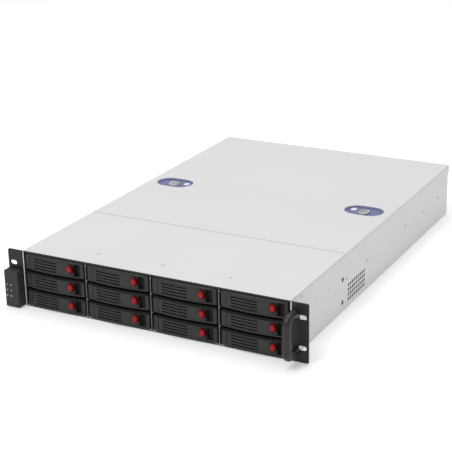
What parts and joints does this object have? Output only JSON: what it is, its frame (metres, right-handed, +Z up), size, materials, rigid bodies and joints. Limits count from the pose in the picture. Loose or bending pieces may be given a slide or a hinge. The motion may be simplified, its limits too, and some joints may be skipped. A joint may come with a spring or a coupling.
{
  "type": "rack-mount network storage chassis",
  "caption": "Rack-mount storage server case with front drive carriers on levers, sliding rear cover with push latches, fans, main board and power supply.",
  "frame": {"origin": "centre of the bounding box, at the bottom face of the case", "axes": "+X to the right seen from the front, +Y to the rear, +Z up; the drive bays face -Y"},
  "size_m": [0.4826, 0.685, 0.087],
  "materials": {
    "steel_paint": "light grey semi-gloss paint",
    "supply_case": null,
    "bare_steel": "zinc-plated sheet",
    "black_metal": "black powder coat",
    "black_plastic": "fine textured moulding",
    "red_plastic": "glossy moulding",
    "blue_plastic": "satin moulding",
    "grey_metal": "satin plated",
    "light_plastic": "translucent white",
    "circuit_board": "solder mask"
  },
  "bodies": {
    "chassis": {"chassis_tray": "steel_paint", "front_cover": "steel_paint", "drive_cage": "bare_steel", "backplane": "circuit_board", "fan_wall": "bare_steel", "fan_frame_1": "black_plastic", "fan_frame_2": "black_plastic", "fan_frame_3": "black_plastic", "motherboard": "circuit_board", "power_supply": "supply_case", "left_ear": "black_metal", "right_ear": "black_metal", "handle": "black_metal", "control_box": "black_plastic"},
    "rear_cover": {"rear_cover": "steel_paint", "latch_plate_left": "blue_plastic", "latch_plate_right": "blue_plastic"},
    "fan_rotor_1": {"fan_rotor_1": "black_plastic"},
    "fan_rotor_2": {"fan_rotor_2": "black_plastic"},
    "fan_rotor_3": {"fan_rotor_3": "black_plastic"},
    "carrier_r1c1": {"carrier_r1c1": "black_plastic"},
    "lever_r1c1": {"lever_r1c1": "black_plastic"},
    "button_r1c1": {"button_r1c1": "red_plastic"},
    "carrier_r1c2": {"carrier_r1c2": "black_plastic"},
    "lever_r1c2": {"lever_r1c2": "black_plastic"},
    "button_r1c2": {"button_r1c2": "red_plastic"},
    "carrier_r1c3": {"carrier_r1c3": "black_plastic"},
    "lever_r1c3": {"lever_r1c3": "black_plastic"},
    "button_r1c3": {"button_r1c3": "red_plastic"},
    "carrier_r1c4": {"carrier_r1c4": "black_plastic"},
    "lever_r1c4": {"lever_r1c4": "black_plastic"},
    "button_r1c4": {"button_r1c4": "red_plastic"},
    "carrier_r2c1": {"carrier_r2c1": "black_plastic"},
    "lever_r2c1": {"lever_r2c1": "black_plastic"},
    "button_r2c1": {"button_r2c1": "red_plastic"},
    "carrier_r2c2": {"carrier_r2c2": "black_plastic"},
    "lever_r2c2": {"lever_r2c2": "black_plastic"},
    "button_r2c2": {"button_r2c2": "red_plastic"},
    "carrier_r2c3": {"carrier_r2c3": "black_plastic"},
    "lever_r2c3": {"lever_r2c3": "black_plastic"},
    "button_r2c3": {"button_r2c3": "red_plastic"},
    "carrier_r2c4": {"carrier_r2c4": "black_plastic"},
    "lever_r2c4": {"lever_r2c4": "black_plastic"},
    "button_r2c4": {"button_r2c4": "red_plastic"},
    "carrier_r3c1": {"carrier_r3c1": "black_plastic"},
    "lever_r3c1": {"lever_r3c1": "black_plastic"},
    "button_r3c1": {"button_r3c1": "red_plastic"},
    "carrier_r3c2": {"carrier_r3c2": "black_plastic"},
    "lever_r3c2": {"lever_r3c2": "black_plastic"},
    "button_r3c2": {"button_r3c2": "red_plastic"},
    "carrier_r3c3": {"carrier_r3c3": "black_plastic"},
    "lever_r3c3": {"lever_r3c3": "black_plastic"},
    "button_r3c3": {"button_r3c3": "red_plastic"},
    "carrier_r3c4": {"carrier_r3c4": "black_plastic"},
    "lever_r3c4": {"lever_r3c4": "black_plastic"},
    "button_r3c4": {"button_r3c4": "red_plastic"},
    "latch_button_left": {"latch_button_left": "grey_metal"},
    "latch_button_right": {"latch_button_right": "grey_metal"},
    "power_button": {"power_button": "light_plastic"},
    "reset_button": {"reset_button": "light_plastic"}
  },
  "joints": [
    {"name": "fan_spin_1", "type": "hinge", "parent": "chassis", "child": "fan_rotor_1", "pos_m": [-0.14, -0.0895, 0.0435], "axis": [0, 1, 0], "continuous": true},
    {"name": "fan_spin_2", "type": "hinge", "parent": "chassis", "child": "fan_rotor_2", "pos_m": [0, -0.0895, 0.0435], "axis": [0, 1, 0], "continuous": true},
    {"name": "fan_spin_3", "type": "hinge", "parent": "chassis", "child": "fan_rotor_3", "pos_m": [0.14, -0.0895, 0.0435], "axis": [0, 1, 0], "continuous": true},
    {"name": "carrier_slide_r1c1", "type": "slide", "parent": "chassis", "child": "carrier_r1c1", "axis": [0, -1, 0], "range_m": [0, 0.16]},
    {"name": "lever_hinge_r1c1", "type": "hinge", "parent": "carrier_r1c1", "child": "lever_r1c1", "pos_m": [-0.20095, -0.3072, 0.0718], "axis": [0, 0, -1], "range_deg": [0, 75]},
    {"name": "button_press_r1c1", "type": "slide", "parent": "lever_r1c1", "child": "button_r1c1", "axis": [0, 1, 0], "range_m": [0, 0.0015], "stiffness_N_per_m": 300},
    {"name": "carrier_slide_r1c2", "type": "slide", "parent": "chassis", "child": "carrier_r1c2", "axis": [0, -1, 0], "range_m": [0, 0.16]},
    {"name": "lever_hinge_r1c2", "type": "hinge", "parent": "carrier_r1c2", "child": "lever_r1c2", "pos_m": [-0.09345, -0.3072, 0.0718], "axis": [0, 0, -1], "range_deg": [0, 75]},
    {"name": "button_press_r1c2", "type": "slide", "parent": "lever_r1c2", "child": "button_r1c2", "axis": [0, 1, 0], "range_m": [0, 0.0015], "stiffness_N_per_m": 300},
    {"name": "carrier_slide_r1c3", "type": "slide", "parent": "chassis", "child": "carrier_r1c3", "axis": [0, -1, 0], "range_m": [0, 0.16]},
    {"name": "lever_hinge_r1c3", "type": "hinge", "parent": "carrier_r1c3", "child": "lever_r1c3", "pos_m": [0.01405, -0.3072, 0.0718], "axis": [0, 0, -1], "range_deg": [0, 75]},
    {"name": "button_press_r1c3", "type": "slide", "parent": "lever_r1c3", "child": "button_r1c3", "axis": [0, 1, 0], "range_m": [0, 0.0015], "stiffness_N_per_m": 300},
    {"name": "carrier_slide_r1c4", "type": "slide", "parent": "chassis", "child": "carrier_r1c4", "axis": [0, -1, 0], "range_m": [0, 0.16]},
    {"name": "lever_hinge_r1c4", "type": "hinge", "parent": "carrier_r1c4", "child": "lever_r1c4", "pos_m": [0.12155, -0.3072, 0.0718], "axis": [0, 0, -1], "range_deg": [0, 75]},
    {"name": "button_press_r1c4", "type": "slide", "parent": "lever_r1c4", "child": "button_r1c4", "axis": [0, 1, 0], "range_m": [0, 0.0015], "stiffness_N_per_m": 300},
    {"name": "carrier_slide_r2c1", "type": "slide", "parent": "chassis", "child": "carrier_r2c1", "axis": [0, -1, 0], "range_m": [0, 0.16]},
    {"name": "lever_hinge_r2c1", "type": "hinge", "parent": "carrier_r2c1", "child": "lever_r2c1", "pos_m": [-0.20095, -0.3072, 0.0435], "axis": [0, 0, -1], "range_deg": [0, 75]},
    {"name": "button_press_r2c1", "type": "slide", "parent": "lever_r2c1", "child": "button_r2c1", "axis": [0, 1, 0], "range_m": [0, 0.0015], "stiffness_N_per_m": 300},
    {"name": "carrier_slide_r2c2", "type": "slide", "parent": "chassis", "child": "carrier_r2c2", "axis": [0, -1, 0], "range_m": [0, 0.16]},
    {"name": "lever_hinge_r2c2", "type": "hinge", "parent": "carrier_r2c2", "child": "lever_r2c2", "pos_m": [-0.09345, -0.3072, 0.0435], "axis": [0, 0, -1], "range_deg": [0, 75]},
    {"name": "button_press_r2c2", "type": "slide", "parent": "lever_r2c2", "child": "button_r2c2", "axis": [0, 1, 0], "range_m": [0, 0.0015], "stiffness_N_per_m": 300},
    {"name": "carrier_slide_r2c3", "type": "slide", "parent": "chassis", "child": "carrier_r2c3", "axis": [0, -1, 0], "range_m": [0, 0.16]},
    {"name": "lever_hinge_r2c3", "type": "hinge", "parent": "carrier_r2c3", "child": "lever_r2c3", "pos_m": [0.01405, -0.3072, 0.0435], "axis": [0, 0, -1], "range_deg": [0, 75]},
    {"name": "button_press_r2c3", "type": "slide", "parent": "lever_r2c3", "child": "button_r2c3", "axis": [0, 1, 0], "range_m": [0, 0.0015], "stiffness_N_per_m": 300},
    {"name": "carrier_slide_r2c4", "type": "slide", "parent": "chassis", "child": "carrier_r2c4", "axis": [0, -1, 0], "range_m": [0, 0.16]},
    {"name": "lever_hinge_r2c4", "type": "hinge", "parent": "carrier_r2c4", "child": "lever_r2c4", "pos_m": [0.12155, -0.3072, 0.0435], "axis": [0, 0, -1], "range_deg": [0, 75]},
    {"name": "button_press_r2c4", "type": "slide", "parent": "lever_r2c4", "child": "button_r2c4", "axis": [0, 1, 0], "range_m": [0, 0.0015], "stiffness_N_per_m": 300},
    {"name": "carrier_slide_r3c1", "type": "slide", "parent": "chassis", "child": "carrier_r3c1", "axis": [0, -1, 0], "range_m": [0, 0.16]},
    {"name": "lever_hinge_r3c1", "type": "hinge", "parent": "carrier_r3c1", "child": "lever_r3c1", "pos_m": [-0.20095, -0.3072, 0.0152], "axis": [0, 0, -1], "range_deg": [0, 75]},
    {"name": "button_press_r3c1", "type": "slide", "parent": "lever_r3c1", "child": "button_r3c1", "axis": [0, 1, 0], "range_m": [0, 0.0015], "stiffness_N_per_m": 300},
    {"name": "carrier_slide_r3c2", "type": "slide", "parent": "chassis", "child": "carrier_r3c2", "axis": [0, -1, 0], "range_m": [0, 0.16]},
    {"name": "lever_hinge_r3c2", "type": "hinge", "parent": "carrier_r3c2", "child": "lever_r3c2", "pos_m": [-0.09345, -0.3072, 0.0152], "axis": [0, 0, -1], "range_deg": [0, 75]},
    {"name": "button_press_r3c2", "type": "slide", "parent": "lever_r3c2", "child": "button_r3c2", "axis": [0, 1, 0], "range_m": [0, 0.0015], "stiffness_N_per_m": 300},
    {"name": "carrier_slide_r3c3", "type": "slide", "parent": "chassis", "child": "carrier_r3c3", "axis": [0, -1, 0], "range_m": [0, 0.16]},
    {"name": "lever_hinge_r3c3", "type": "hinge", "parent": "carrier_r3c3", "child": "lever_r3c3", "pos_m": [0.01405, -0.3072, 0.0152], "axis": [0, 0, -1], "range_deg": [0, 75]},
    {"name": "button_press_r3c3", "type": "slide", "parent": "lever_r3c3", "child": "button_r3c3", "axis": [0, 1, 0], "range_m": [0, 0.0015], "stiffness_N_per_m": 300},
    {"name": "carrier_slide_r3c4", "type": "slide", "parent": "chassis", "child": "carrier_r3c4", "axis": [0, -1, 0], "range_m": [0, 0.16]},
    {"name": "lever_hinge_r3c4", "type": "hinge", "parent": "carrier_r3c4", "child": "lever_r3c4", "pos_m": [0.12155, -0.3072, 0.0152], "axis": [0, 0, -1], "range_deg": [0, 75]},
    {"name": "button_press_r3c4", "type": "slide", "parent": "lever_r3c4", "child": "button_r3c4", "axis": [0, 1, 0], "range_m": [0, 0.0015], "stiffness_N_per_m": 300},
    {"name": "rear_cover_slide", "type": "slide", "parent": "chassis", "child": "rear_cover", "axis": [0, 1, 0], "range_m": [0, 0.44]},
    {"name": "latch_press_left", "type": "slide", "parent": "rear_cover", "child": "latch_button_left", "axis": [0, 0, -1], "range_m": [0, 0.0012], "stiffness_N_per_m": 800, "springref_m": -0.0006},
    {"name": "latch_press_right", "type": "slide", "parent": "rear_cover", "child": "latch_button_right", "axis": [0, 0, -1], "range_m": [0, 0.0012], "stiffness_N_per_m": 800, "springref_m": -0.0006},
    {"name": "power_press", "type": "slide", "parent": "chassis", "child": "power_button", "axis": [0, 1, 0], "range_m": [0, 0.0008], "stiffness_N_per_m": 200},
    {"name": "reset_press", "type": "slide", "parent": "chassis", "child": "reset_button", "axis": [0, 1, 0], "range_m": [0, 0.0008], "stiffness_N_per_m": 200}
  ]
}
